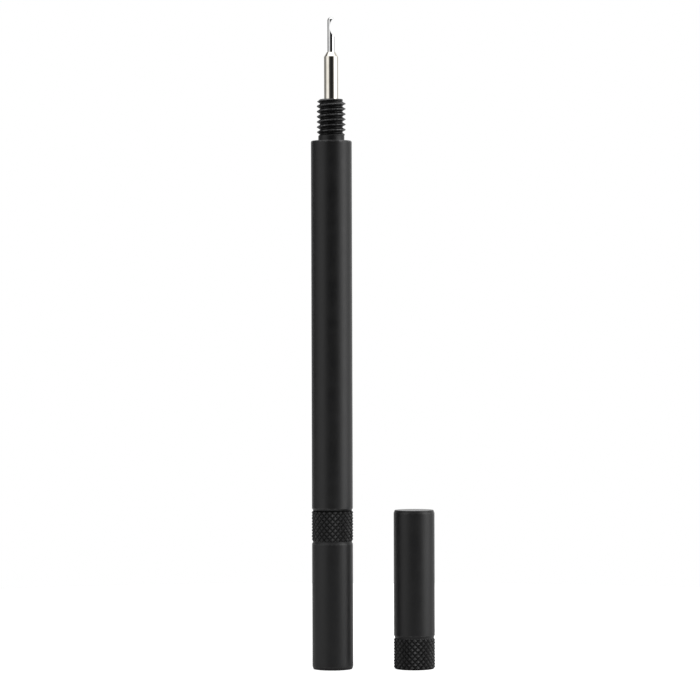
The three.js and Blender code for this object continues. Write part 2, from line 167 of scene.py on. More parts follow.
def soften(corners, closed=False, step=15):
    """Turns (radius, z, rounding) corners into (radius, z, wear and painted shading) points.

    Rounding is above 0 on an outer edge, which is worn, and on the black finish also painted lighter
    as a highlight, and below 0 in a recess.
    An arc has a point at least every step degrees.
    """
    points = []
    count = len(corners)
    for k, (radius, z, rounding) in enumerate(corners):
        if rounding == 0 or (not closed and k in (0, count - 1)):
            points.append((radius, z, 0.0))
            continue
        corner = np.array((radius, z), float)
        before = np.array(corners[k - 1][:2], float) - corner
        after = np.array(corners[(k + 1) % count][:2], float) - corner
        before_length, after_length = np.linalg.norm(before), np.linalg.norm(after)
        before, after = before / before_length, after / after_length
        inner = math.acos(max(-1.0, min(1.0, float(before @ after))))
        turn = math.pi - inner
        if turn < LEAST_TURN:
            points.append((radius, z, 0.0))
            continue
        size = abs(rounding)
        cut = min(size * math.tan(turn / 2), MOST_CUT * before_length, MOST_CUT * after_length)
        arc_radius = cut / math.tan(turn / 2)
        inwards = (before + after) / np.linalg.norm(before + after)
        centre = corner + inwards * arc_radius / math.sin(inner / 2)
        wear_and_shading = 1.0 if rounding > 0 else 0.0
        # an unworn point on each side keeps the wear and painted highlight close to the edge
        pad_before = min(0.8 * size, 0.5 * (0.5 * before_length - cut))
        pad_after = min(0.8 * size, 0.5 * (0.5 * after_length - cut))
        points.append((*(corner + before * (cut + pad_before)), 0.0))
        start = math.atan2(*(corner + before * cut - centre)[::-1])
        end = math.atan2(*(corner + after * cut - centre)[::-1])
        sweep = (end - start + math.pi) % (2 * math.pi) - math.pi
        steps = max(2, math.ceil(turn / math.radians(step)))
        for i in range(steps + 1):
            angle = start + sweep * i / steps
            x = centre[0] + arc_radius * math.cos(angle)
            y = centre[1] + arc_radius * math.sin(angle)
            points.append((x, y, wear_and_shading))
        points.append((*(corner + after * (cut + pad_after)), 0.0))
    return points


class Skin:
    """Points with a value for wear and painted shading, and faces over them.

    Wear is 1 on a rubbed edge, where it stands for real wear and a painted highlight, and -1 deep in
    a recess, where it is painted shade.
    """

    def __init__(self):
        self.points, self.wear_and_shading, self.faces = [], [], []

    def ring(self, rows):
        """rows: (x, y, z, wear and painted shading) in order round the axis. Returns their indices.
        """
        first = len(self.points)
        for x, y, z, wear_and_shading in rows:
            self.points.append((x, y, z))
            self.wear_and_shading.append(wear_and_shading)
        return list(range(first, len(self.points)))

    def circle(self, radius, z, wear_and_shading=0.0, count=BODY_SIDES):
        if radius <= 1e-9:
            return self.ring([(0.0, 0.0, z, wear_and_shading)])
        angles = [2 * math.pi * i / count for i in range(count)]
        return self.ring(
            [(radius * math.cos(angle), radius * math.sin(angle), z, wear_and_shading) for angle in angles]
        )

    def band(self, first, second):
        """Faces between two rings, which may differ in their number of points."""
        count, other = len(first), len(second)
        if count == other and count > 1:
            for i in range(count):
                j = (i + 1) % count
                self.faces.append((first[i], first[j], second[j], second[i]))
            return
        i = 1 if count == 1 else 0
        j = 1 if other == 1 else 0
        while i < count or j < other:
            reach = (i + 1) / count if i < count else math.inf
            other_reach = (j + 1) / other if j < other else math.inf
            start, other_start = first[i % count], second[j % other]
            if reach <= other_reach:
                self.faces.append((start, first[(i + 1) % count], other_start))
                i += 1
            else:
                self.faces.append((start, second[(j + 1) % other], other_start))
                j += 1

    def chain(self, rings):
        for first, second in zip(rings, rings[1:]):
            self.band(first, second)

    def turn(self, points, closed=False, count=BODY_SIDES):
        """Turns (radius, z, wear) points about the axis."""
        rings = [self.circle(radius, z, wear_and_shading, count) for radius, z, wear_and_shading in points]
        self.chain(rings)
        if closed:
            self.band(rings[-1], rings[0])
        return rings

    def helix(self, start, stop, profile, shape, first_ring, last_ring):
        """A threaded band from z start to z stop, between two rings of equal count.

        Its rows follow the helix, so that the flanks are clean. profile is one pitch of
        (offset, radius, wear and painted shading), and shape(radius, z) fits a radius to the ends of
        the thread.
        """
        count = len(first_ring)
        rows = []
        turn = math.floor((start - PITCH - CREST_Z - profile[0][0]) / PITCH)
        while CREST_Z + (turn - 1) * PITCH <= stop:
            rows += [(CREST_Z + turn * PITCH + offset, *rest) for offset, *rest in profile]
            turn += 1
        made = {}

        def point_at(i, row):
            row_z, radius, wear_and_shading = rows[row]
            z = row_z + PITCH * i / count
            if z <= start + 0.012:
                return first_ring[i % count]
            if z >= stop - 0.012:
                return last_ring[i % count]
            key = (i % count, round(z, 5))
            if key not in made:
                angle = 2 * math.pi * (i % count) / count
                fitted = shape(radius, z)
                made[key] = len(self.points)
                self.points.append((fitted * math.cos(angle), fitted * math.sin(angle), z))
                self.wear_and_shading.append(wear_and_shading if abs(fitted - radius) < 0.02 else wear_and_shading * 0.5)
            return made[key]

        for i in range(count):
            for k in range(len(rows) - 1):
                quad = [
                    point_at(i, k),
                    point_at(i + 1, k),
                    point_at(i + 1, k + 1),
                    point_at(i, k + 1),
                ]
                kept = [point for j, point in enumerate(quad) if point != quad[j - 1]]
                if len(set(kept)) >= 3:
                    self.faces.append(tuple(kept))


def turned(points, count, closed=False):
    skin = Skin()
    skin.turn(points, closed, count)
    return skin


def piece(node, skin, place, sharp_angle=32):
    """Makes the object for one CAD node, in its place, riding on that node's body."""
    name = f"{node}_skin"
    turn, shift_x, shift_z = place
    points = np.array(skin.points, float) * (1, turn, turn) + (shift_x, 0, shift_z)
    mesh = bpy.data.meshes.new(name)
    mesh.from_pydata([tuple(point) for point in points * MM], [], skin.faces)
    mesh.update()
    # the wear attribute carries real wear and also painted light: painted highlights on edges and
    # painted shade in recesses
    attribute = mesh.attributes.new("wear_and_shading", "FLOAT", "POINT")
    attribute.data.foreach_set("value", np.array(skin.wear_and_shading, np.float32))
    bm = bmesh.new()
    bm.from_mesh(mesh)
    bmesh.ops.remove_doubles(bm, verts=bm.verts, dist=1e-8)
    bmesh.ops.dissolve_degenerate(bm, edges=bm.edges, dist=1e-8)
    bmesh.ops.recalc_face_normals(bm, faces=bm.faces)
    if bm.calc_volume(signed=True) < 0:
        bmesh.ops.reverse_faces(bm, faces=bm.faces)
    bm.to_mesh(mesh)
    bm.free()
    mesh.shade_smooth()
    mesh.set_sharp_from_angle(angle=math.radians(sharp_angle))
    obj = bpy.data.objects.new(name, mesh)
    bpy.context.scene.collection.objects.link(obj)
    slot = slots[node]
    mesh.materials.append(MATERIALS[slot])
    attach(obj, body_of_node[node])
    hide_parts(node)
    return obj


# ---- turned pieces; an outline's columns are (radius, z, rounding) ----
def barrel_skin():
    """The plain body, with a stepped bore in each end. Built in world heights."""

    def rear(z):
        return REAR_PLANE - z

    def front(z):
        return FRONT_PLANE + z

    rear_face, front_face = rear(-REAR_GAP), front(-JOINT_GAP)
    front_edge = front(-JOINT_GAP - FRONT_BREAK[1])
    outline = [
        (0, rear(PILOT_FLOOR), 0),
        (PILOT_R, rear(PILOT_FLOOR), -0.15),
        (PILOT_R, rear(BORE_FLOOR), 0.08),
        (BORE_R, rear(BORE_FLOOR), -0.12),
        (BORE_R, rear_face, 0.05),
        (BODY_R - REAR_BREAK[0], rear_face, 0.04),
        (BODY_R - REAR_BREAK[0] * 0.6, rear(-JOINT_GAP - REAR_BREAK[1] * 0.4), 0),
        (BODY_R, rear(-JOINT_GAP - REAR_BREAK[1]), 0.22),
        (BODY_R, front_edge, 0.22),
        (BODY_R - FRONT_BREAK[0], front_face, 0.05),
        (BORE_R, front_face, 0.05),
        (BORE_R, front(BORE_FLOOR), -0.12),
        (PILOT_R, front(BORE_FLOOR), 0.08),
        (PILOT_R, front(PILOT_FLOOR), -0.15),
        (0, front(PILOT_FLOOR), 0),
    ]
    points = []
    for radius, z, wear_and_shading in soften(outline):
        # the rear face is shut away against the cap's mouth, and is painted near black as shade at
        # the joint
        if radius > 3 and z < rear_face + 0.01:
            wear_and_shading = -1.0
        # the front edge is painted light as a highlight line along the shoulder
        if radius > BODY_R - 0.2 and z > front_edge:
            wear_and_shading = max(wear_and_shading, 0.9)
        points.append((radius, z, wear_and_shading))
    return turned(points, BODY_SIDES)


def thread_profile(corners, width, wear_and_shading_at):
    """One pitch of a thread as (offset, radius, wear and painted shading).

    It is the straight profile through corners (offset, radius), averaged over a width.
    """
    offsets = [offset for offset, _ in corners]
    radii = [radius for _, radius in corners]
    near_offsets = np.array([offset + shift for shift in (-PITCH, 0, PITCH) for offset in offsets])
    near_radii = np.array(radii * 3)
    places = sorted(
        round(offset + part * width, 6)
        for offset in offsets
        for part in (-0.5, -0.25, 0.0, 0.25, 0.5)
    )
    profile = []
    for place in places:
        window = np.linspace(place - width / 2, place + width / 2, 41)
        radius = float(np.interp(window, near_offsets, near_radii).mean())
        profile.append((place, radius, wear_and_shading_at(radius)))
    return profile


def nose_skin():
    """The hollow nose: a spigot in the barrel, a neck, and the thread that takes a cap."""
    skin = Skin()
    back = [
        (BUSH_SEAT_R, NOSE_BACK, 0),
        (SPIGOT_R - 0.25, NOSE_BACK, 0.05),
        (SPIGOT_R, NOSE_BACK + 0.25, 0.05),
        (SPIGOT_R, -JOINT_GAP, 0.04),
        (NECK_R, -JOINT_GAP, -0.12),
        (NECK_R, EXT_FROM, 0),
    ]
    rings = skin.turn(soften(back), count=SMALL_SIDES)
    tip = skin.circle(EXT_ROOT_R, NOSE_TIP, 0.6, SMALL_SIDES)

    # crests are painted light, partly as wear and partly as painted highlight; the roots are painted
    # dark as shade
    def wear_and_shading_at(radius):
        return 1.35 * unit((radius - 3.76) / 0.13) - 0.55 * unit((3.35 - radius) / 0.2)

    def shape(radius, z):
        """Runs the thread out of the neck, and chamfers it at the tip."""
        run_in = 1.2 if radius > NECK_R else 0.5
        grown = min(1.0, (z - EXT_FROM) / run_in)
        return min(NECK_R + (radius - NECK_R) * grown, EXT_ROOT_R + (NOSE_TIP - z) * 1.25)

    profile = thread_profile(
        [
            (-EXT_CREST_HALF, EXT_CREST_R),
            (EXT_CREST_HALF, EXT_CREST_R),
            (HALF_PITCH - EXT_ROOT_HALF, EXT_ROOT_R),
            (HALF_PITCH + EXT_ROOT_HALF, EXT_ROOT_R),
        ],
        0.13,
        wear_and_shading_at,
    )
    skin.helix(EXT_FROM, NOSE_TIP, profile, shape, rings[-1], tip)
    inside = [
        (EXT_ROOT_R, NOSE_TIP, 0),
        (NOSE_BORE_R + 0.18, NOSE_TIP, 0.05),
        (NOSE_BORE_R, NOSE_TIP - 0.18, 0.05),
        (NOSE_BORE_R, BUSH_SEAT_END, 0.03),
        (BUSH_SEAT_R, BUSH_SEAT_END, -0.05),
        (BUSH_SEAT_R, NOSE_BACK, 0),
    ]
    bore = [skin.circle(*point, SMALL_SIDES) for point in soften(inside)[1:-1]]
    skin.chain([tip, *bore, rings[0]])
    return skin


def bush_skin():
    back, tip = NOSE_BACK + 0.02, BUSH_SEAT_END - 0.04
    outer = BUSH_SEAT_R - 0.03
    outline = [
        (NOSE_BORE_R, back, 0.04),
        (outer, back, 0.06),
        (outer, tip - 0.25, 0.05),
        (outer - 0.2, tip, 0.05),
        (NOSE_BORE_R, tip, 0.04),
    ]
    return turned(soften(outline, closed=True), SMALL_SIDES, closed=True)


def washer_skin():
    outline = [
        (WASHER_INNER_R, GROOVE_TO, 0.05),
        (WASHER_OUTER_R, GROOVE_TO, 0.08),
        (WASHER_OUTER_R, WASHER_TO, 0.08),
        (WASHER_INNER_R, WASHER_TO, 0.05),
    ]
    return turned(soften(outline, closed=True), SMALL_SIDES, closed=True)


def clip_skin():
    """A retaining ring: an open ring with three inner lugs and rounded free ends."""
    skin = Skin()
    open_half = math.radians(35)
    sweep = 2 * math.pi - 2 * open_half
    steps = 72
    # columns: share of the way from the inner to the outer radius, z, rounding
    outline = [
        (0.0, CLIP_FROM, 0.05),
        (1.0, CLIP_FROM, 0.07),
        (1.0, CLIP_TO, 0.07),
        (0.0, CLIP_TO, 0.05),
    ]
    section = soften(outline, closed=True, step=30)
    rings = []
    for k in range(steps + 1):
        angle = open_half + sweep * k / steps
        from_end = min(k, steps - k) / steps * sweep
        nip = 0.16 * math.exp(-((from_end / 0.1) ** 2))
        lug = 0.5 + 0.5 * math.cos(3 * (angle - math.pi))
        relief = 0.42 * (1 - lug**2) * (1 - math.exp(-((from_end / 0.35) ** 2)))
        inner = CLIP_INNER_R + relief + nip
        outer = CLIP_OUTER_R - nip
        rows = []
        for share, z, wear_and_shading in section:
            radius = inner + (outer - inner) * share
            rows.append((radius * math.cos(angle), radius * math.sin(angle), z, wear_and_shading))
        rings.append(skin.ring(rows))
    skin.chain(rings)
    skin.faces.append(tuple(rings[0]))
    skin.faces.append(tuple(reversed(rings[-1])))
    return skin


def ball_skin():
    steps = 40
    points = []
    for i in range(steps + 1):
        angle = math.pi * i / steps
        radius = BALL_R * math.sin(angle) if 0 < i < steps else 0
        points.append((radius, BALL_Z - BALL_R * math.cos(angle), 0.0))
    return turned(points, BALL_SIDES)


def pad_skin():
    """The disc behind the ball, with a shallow dish in its outward face."""
    outline = [
        (0, -18.07, 0),
        (1.8, -18.07, 0.05),
        (2.0, -17.87, 0.05),
        (2.0, -17.06, 0.08),
        (1.2, -17.06, 0.03),
        (0.9, -17.1, -0.2),
        (0, -17.12, 0),
    ]
    return turned(soften(outline), SMALL_SIDES)


def spindle_skin():
    """A rod with a groove for the clip, a coned tip and a socket for the blade."""
    outline = [
        (0, SPINDLE_BACK, 0),
        (SPINDLE_R - 0.25, SPINDLE_BACK, 0.06),
        (SPINDLE_R, SPINDLE_BACK + 0.25, 0.08),
        (SPINDLE_R, GROOVE_FROM, 0.04),
        (GROOVE_R, GROOVE_FROM, -0.06),
        (GROOVE_R, GROOVE_TO, -0.06),
        (SPINDLE_R, GROOVE_TO, 0.04),
        (SPINDLE_R, 22.87, 0.22),
        (1.22, SPINDLE_TIP, 0.05),
        (SOCKET_R, SPINDLE_TIP, 0.03),
        (SOCKET_R, SOCKET_EDGE_Z, 0),
        (0, SOCKET_FLOOR, 0),
    ]
    return turned(soften(outline), SPINDLE_SIDES)


def ring_skin():
    """A sealing ring, with the faint parting line of its mould on the outside and inside."""
    count = 32
    centre_r = RING_OUTER_R - RING_SECTION_R
    points = []
    for i in range(count):
        angle = 2 * math.pi * i / count
        radius = RING_SECTION_R - (0.0 if i % (count // 2) == 0 else 0.006)
        points.append(
            (centre_r + radius * math.cos(angle), RING_Z + radius * math.sin(angle), 0.0)
        )
    return turned(points, RING_SIDES, closed=True)


# ---- blades ----
DOME_Z = BLADE_TIP - BLADE_R  # the centre of the notched blade's round tip
THIRD = 2 * math.pi / 3


def notch_blade_skin():
    """A round-tipped rod with a round hollow ground into its +X side."""
    arc, flat = 84, 12
    count = arc + flat

    def rod_radius(z):
        if z <= DOME_Z:
            return BLADE_R
        return math.sqrt(max(0.0, BLADE_R**2 - (z - DOME_Z) ** 2))

    def hollow_x(z):
        if abs(z - NOTCH_Z) >= NOTCH_R:
            return math.inf
        return NOTCH_X - math.sqrt(NOTCH_R**2 - (z - NOTCH_Z) ** 2)

    skin = Skin()

    def section(z, wear_and_shading=0.0):
        radius = rod_radius(z)
        x = min(radius, hollow_x(z))
        cut = math.acos(x / radius) if x < radius - 1e-6 else 0.0
        flat_x = x if cut else radius
        edge = 1.0 if cut else 0.0
        rows = []
        for i in range(arc):
            angle = cut + (2 * math.pi - 2 * cut) * i / arc
            worn = 1.0 if cut and i == 0 else wear_and_shading
            rows.append((radius * math.cos(angle), radius * math.sin(angle), z, worn))
        for i in range(flat):
            y = radius * math.sin(cut) * (-1 + 2 * i / flat)
            rows.append((flat_x, y, z, edge if i == 0 else 0.0))
        return skin.ring(rows)

    # the hollow runs from where it enters the rod to where it leaves near the tip
    hollow_from = NOTCH_Z - math.sqrt(NOTCH_R**2 - (NOTCH_X - BLADE_R) ** 2)
    hollow_to, above = DOME_Z, BLADE_TIP
    while above - hollow_to > 1e-7:
        halfway = (hollow_to + above) / 2
        if hollow_x(halfway) < rod_radius(halfway):
            hollow_to = halfway
        else:
            above = halfway
    steps = 64
    levels = [hollow_from + (hollow_to - hollow_from) * k / steps for k in range(steps + 1)]
    if hollow_to > DOME_Z:
        levels.append(DOME_Z)
    last = math.acos((hollow_to - DOME_Z) / BLADE_R)
    tip_levels = [DOME_Z + BLADE_R * math.cos(last * (1 - k / 8)) for k in range(1, 8)]
    rings = [
        skin.circle(0, BLADE_BACK),
        skin.circle(BLADE_R - BLADE_CHAMFER, BLADE_BACK, 0.5, count),
        section(BLADE_BACK + BLADE_CHAMFER),
    ]
    rings += [section(z) for z in sorted(set(levels))]
    rings += [section(z, 0.3) for z in tip_levels]
    rings.append(skin.circle(0, BLADE_TIP))
    skin.chain(rings)
    return skin


def point_blade_skin():
    """A rod ground to a three-edged point. Each ring has a vertex on every edge of every flat."""
    skin = Skin()
    half_flat, arc = 8, 18

    def section(z, radius=BLADE_R, wear_and_shading=0.0):
        flat = BLADE_R * (BLADE_TIP - z) / POINT_LENGTH  # a flat's distance from the axis
        half = min(math.acos(min(1.0, flat / radius)), THIRD / 2)
        edge = 1.0 if half > 0 else 0.0
        # (angle from one flat's middle towards the next, wear)
        stations = [
            (half * i / half_flat, edge if i == half_flat else 0.0) for i in range(half_flat + 1)
        ]
        stations += [(half + (THIRD - 2 * half) * i / arc, wear_and_shading) for i in range(1, arc)]
        stations += [
            (THIRD - half + half * i / half_flat, edge if i == 0 else 0.0)
            for i in range(half_flat)
        ]
        rows = []
        for k in range(3):
            for offset, worn in stations:
                near = min(offset, THIRD - offset)
                reach = min(radius, flat / math.cos(near)) if near <= half else radius
                angle = k * THIRD + offset
                rows.append((reach * math.cos(angle), reach * math.sin(angle), z, worn))
        return skin.ring(rows)

    rings = [
        skin.circle(0, BLADE_BACK),
        section(BLADE_BACK, BLADE_R - BLADE_CHAMFER, 0.5),
        section(BLADE_BACK + BLADE_CHAMFER),
    ]
    # distances from the tip, as shares of the point's length
    shares = [1.0 - 0.0005 * k * k for k in range(32)]
    shares += [0.5, 0.45, 0.38, 0.3, 0.2, 0.1, 0.04]
    rings += [section(BLADE_TIP - share * POINT_LENGTH) for share in shares]
    rings.append(skin.circle(0, BLADE_TIP, 1.0))
    skin.chain(rings)
    return skin


def notch_blade_normal(centre, corner):
    """The true surface's normal at a face's corner, both given in the blade's own frame."""
    x, y, z = centre
    out = math.hypot(x, y, max(0.0, z - DOME_Z))
    if out > 0.985 * BLADE_R:
        return corner[0], corner[1], max(0.0, corner[2] - DOME_Z)
    return NOTCH_X - corner[0], 0.0, NOTCH_Z - corner[2]


def point_blade_normal(centre, corner):
    x, y, z = centre
    angle = THIRD * round(math.atan2(y, x) / THIRD)
    flat = BLADE_R * (BLADE_TIP - z) / POINT_LENGTH
    if abs(x * math.cos(angle) + y * math.sin(angle) - flat) < 0.0012:
        return math.cos(angle), math.sin(angle), BLADE_R / POINT_LENGTH
    return corner[0], corner[1], 0.0


def true_normals(obj, place, normal_at):
    """Gives a ground blade the exact normals of its rod and its ground faces."""
    mesh = obj.data
    mesh.update()
    turn, _, plane = place

    def own(point):
        x, y, z = point
        return x / MM, turn * y / MM, turn * (z / MM - plane)

    normals = [tuple(corner.vector) for corner in mesh.corner_normals]
    for polygon in mesh.polygons:
        centre = own(polygon.center)
        if centre[2] < BLADE_BACK + 0.2:
            continue
        for loop in polygon.loop_indices:
            vertex = mesh.vertices[mesh.loops[loop].vertex_index]
            x, y, z = normal_at(centre, own(vertex.co))
            normal = (x, turn * y, turn * z)
            size = math.hypot(*normal)
            if size <= 1e-6:
                continue
            if sum(a * b for a, b in zip(normal, polygon.normal)) / size > 0.4:
                normals[loop] = tuple(part / size for part in normal)
    mesh.normals_split_custom_set(normals)


# ---- caps ----
def knurl_at(row, column):
    """Pyramids cut by two crossing families of grooves. row and column count half diamonds.

    Returns the radius, and the height from 0 in a groove to 1 on a pyramid's top.
    """
    across_one = abs((row + column) % 2 - 1)
    across_other = abs((row - column) % 2 - 1)
    # a groove has a small flat floor, and a pyramid a small flat top
    height = unit((min(across_one, across_other) - 0.07) / 0.85)
    return KNURL_VALLEY_R + (KNURL_R - KNURL_VALLEY_R) * height, height


def knurl_rub_and_glint(row, column):
    """How much one pyramid's top is rubbed and painted light: most are hardly touched, and a few get
    a painted glint.
    """
    one = round((row + column - 1) / 2)
    other = round((row - column - 1) / 2)
    around = (one - other) % (KNURL_COLUMNS // 2)
    scatter = math.sin(12.9898 * (one + other) + 78.233 * around) * 43758.5453
    scatter -= math.floor(scatter)
    return 0.4 + 2.8 * scatter**4


def knurled_band(skin, fine):
    """The knurled rings from the mouth to the vee. fine is the steps in half a diamond."""
    count = KNURL_COLUMNS * fine
    half_row = (KNURL_TO - KNURL_FROM) / KNURL_ROWS
    step = half_row / fine
    levels = [0.035]
    k = 1
    while k * step < VEE_Z - 0.06:
        levels.append(k * step)
        k += 1
    rings = []
    for z in levels:
        row = (z - KNURL_FROM) / half_row
        mouth = MOUTH_R + 0.82 * z
        vee = VEE_R + 0.6 * (VEE_Z - z)
        points = []
        for i in range(count):
            angle = 2 * math.pi * i / count
            knurl, height = knurl_at(row, i / fine)
            radius = min(knurl, mouth, vee)
            wear_and_shading = 0.1
            # pyramid tops are painted lighter, partly as wear and partly as painted glints, and the
            # grooves are painted dark as shade
            if radius == knurl:
                wear_and_shading = 0.8 * knurl_rub_and_glint(row, i / fine) * height**4 - 0.85 * (1 - height) ** 4
            # painted shade, darker towards the mouth
            wear_and_shading = max(-1.0, wear_and_shading - 2.6 * max(0.0, 1 - z / 0.46))
            points.append((radius * math.cos(angle), radius * math.sin(angle), z, wear_and_shading))
        rings.append(skin.ring(points))
    return rings


def cap_skin():
    """A cap with its mouth at z 0 and its closed end at CAP_LENGTH."""
    fine = 8
    count = KNURL_COLUMNS * fine
    skin = Skin()
    # the ring seat and the mouth's edge are painted dark as shade where the cap meets the barrel
    seat = skin.circle(RING_SEAT_R, 0.0, -0.6, count)
    mouth_edge = skin.circle(MOUTH_R - 0.04, 0.0, -1.0, count)
    rings = [seat, mouth_edge, *knurled_band(skin, fine)]
    skin.chain(rings)
    outside = [
        (VEE_R + 0.02, VEE_Z - 0.04, 0),
        (VEE_R, VEE_Z, -0.02),
        (BODY_R, VEE_TO, 0.08),
        (BODY_R, CAP_LENGTH - END_BREAK[1], 0.3),
        (BODY_R - END_BREAK[0], CAP_LENGTH, 0.06),
        (0, CAP_LENGTH, 0),
    ]
    # the closed end's edges are less rubbed than the vee's, and get less of the painted edge
    # highlight
    plain = [
        skin.circle(radius, z, wear_and_shading * (0.35 if z > CAP_LENGTH / 2 else 1.0), count)
        for radius, z, wear_and_shading in soften(outside)
    ]
    skin.chain([rings[-1], *plain])
    bore = [
        (0, CAP_CONE_END, 0),
        (INT_CREST_R, CAP_BORE_END, -0.2),
        (INT_CREST_R, INT_TO, 0),
    ]
    inside = skin.turn(soften(bore), count=SMALL_SIDES)

    # the inner crests are painted lighter, partly as wear and partly as painted highlight; the roots
    # are painted dark as shade
    def wear_and_shading_at(radius):
        return unit((3.45 - radius) / 0.12) - unit((radius - 3.6) / 0.4)

    def shape(radius, z):
        """Chamfers the thread at the mouth, and runs it out into the bore."""
        return min(max(radius, LEAD_R - (z - INT_FROM) * 1.2), INT_CREST_R + (INT_TO - z))

    root_half = HALF_PITCH - INT_CREST_HALF - INT_FLANK
    profile = thread_profile(
        [
            (-root_half, INT_ROOT_R),
            (root_half, INT_ROOT_R),
            (HALF_PITCH - INT_CREST_HALF, INT_CREST_R),
            (HALF_PITCH + INT_CREST_HALF, INT_CREST_R),
        ],
        0.11,
        wear_and_shading_at,
    )
    lead = skin.circle(LEAD_R, INT_FROM, 0.0, SMALL_SIDES)
    skin.helix(INT_FROM, INT_TO, profile, shape, lead, inside[-1])
    mouth = [
        (LEAD_R, INT_FROM, 0),
        (LEAD_R, RING_SEAT_DEPTH, 0.06),
        (RING_SEAT_R, RING_SEAT_DEPTH, -0.08),
        (RING_SEAT_R, 0.0, 0),
    ]
    rest = [
        skin.circle(radius, z, wear_and_shading, SMALL_SIDES if radius < 4.5 else count)
        for radius, z, wear_and_shading in soften(mouth)[1:-1]
    ]
    skin.chain([lead, *rest, seat])
    return skin


# ---- finishes ----
class Nodes:
    """Short ways to add nodes to a shader tree. A value may be a number or a socket."""

    def __init__(self, tree):
        self.tree = tree

    def add(self, kind, **settings):
        node = self.tree.nodes.new(kind)
        for key, value in settings.items():
            setattr(node, key, value)
        return node

    def put(self, socket, value):
        if hasattr(value, "is_output"):
            self.tree.links.new(value, socket)
        else:
            socket.default_value = value

    def fit(self, value, span, to=(0.0, 1.0), shape="LINEAR"):
        """Maps a span of values to another, held at its ends."""
        node = self.add("ShaderNodeMapRange", clamp=True, interpolation_type=shape)
        self.put(node.inputs["Value"], value)
        node.inputs["From Min"].default_value, node.inputs["From Max"].default_value = span
        node.inputs["To Min"].default_value, node.inputs["To Max"].default_value = to
        return node.outputs["Result"]

    def math(self, operation, first, second=0.0, *more):
        node = self.add("ShaderNodeMath", operation=operation)
        for socket, value in zip(node.inputs, (first, second, *more)):
            self.put(socket, value)
        return node.outputs[0]

    def times(self, value, factor):
        return self.math("MULTIPLY", value, factor)

    def scale(self, vector, factor):
        node = self.add("ShaderNodeVectorMath", operation="SCALE")
        self.put(node.inputs[0], vector)
        self.put(node.inputs["Scale"], factor)
        return node.outputs["Vector"]

    def split(self, vector):
        node = self.add("ShaderNodeSeparateXYZ")
        self.put(node.inputs[0], vector)
        return node.outputs

    def mix(self, share, under, over):
        node = self.add("ShaderNodeMix", data_type="RGBA")
        self.put(node.inputs[0], share)
        for socket, value in ((node.inputs[6], under), (node.inputs[7], over)):
            self.put(socket, value if hasattr(value, "is_output") else (*value, 1.0))
        return node.outputs[2]


class Finish(Nodes):
    """A material whose textures are laid out in mm. Wear and painted-shading nodes are made when
    first used.
    """

    def __init__(self, name):
        self.material = bpy.data.materials.new(name)
        self.material.use_nodes = True
        super().__init__(self.material.node_tree)
        self.shader = self.tree.nodes["Principled BSDF"]
        place = self.add("ShaderNodeTexCoord").outputs["Object"]
        self.place_mm = self.scale(place, 1 / MM)

    @cached_property
    def wear_and_shading_value(self):
        return self.add("ShaderNodeAttribute", attribute_name="wear_and_shading").outputs["Fac"]

    # the positive part: worn edges, which also stand for painted highlights
    @cached_property
    def wear_and_shading(self):
        return self.math("MAXIMUM", self.wear_and_shading_value, 0.0)

    # the negative part: painted shade in recesses and joints
    @cached_property
    def recess_shade(self):
        return self.fit(self.wear_and_shading_value, span=(0.0, -1.0))

    def noise(self, scale, detail=2.0, rough=0.5, stretch=None, seed=0.0):
        vector = self.place_mm
        if stretch or seed:
            mapping = self.add("ShaderNodeMapping")
            mapping.inputs["Scale"].default_value = stretch or (1, 1, 1)
            mapping.inputs["Location"].default_value = (seed, seed * 1.7, -seed)
            self.put(mapping.inputs["Vector"], vector)
            vector = mapping.outputs["Vector"]
        node = self.add("ShaderNodeTexNoise")
        node.inputs["Scale"].default_value = scale
        node.inputs["Detail"].default_value = detail
        node.inputs["Roughness"].default_value = rough
        self.put(node.inputs["Vector"], vector)
        return node.outputs["Fac"]

    def drifting(self, drift, to=(0.0, 1.0)):
        return self.fit(drift, span=(0.35, 0.65), to=to)

    def bump(self, height, distance, strength, normal=None):
        """distance is in mm."""
        node = self.add("ShaderNodeBump")
        node.inputs["Strength"].default_value = strength
        node.inputs["Distance"].default_value = distance * MM
        self.put(node.inputs["Height"], height)
        if normal is not None:
            self.put(node.inputs["Normal"], normal)
        return node.outputs["Normal"]

    def set(self, **values):
        for key, value in values.items():
            self.put(self.shader.inputs[key.replace("_", " ")], value)


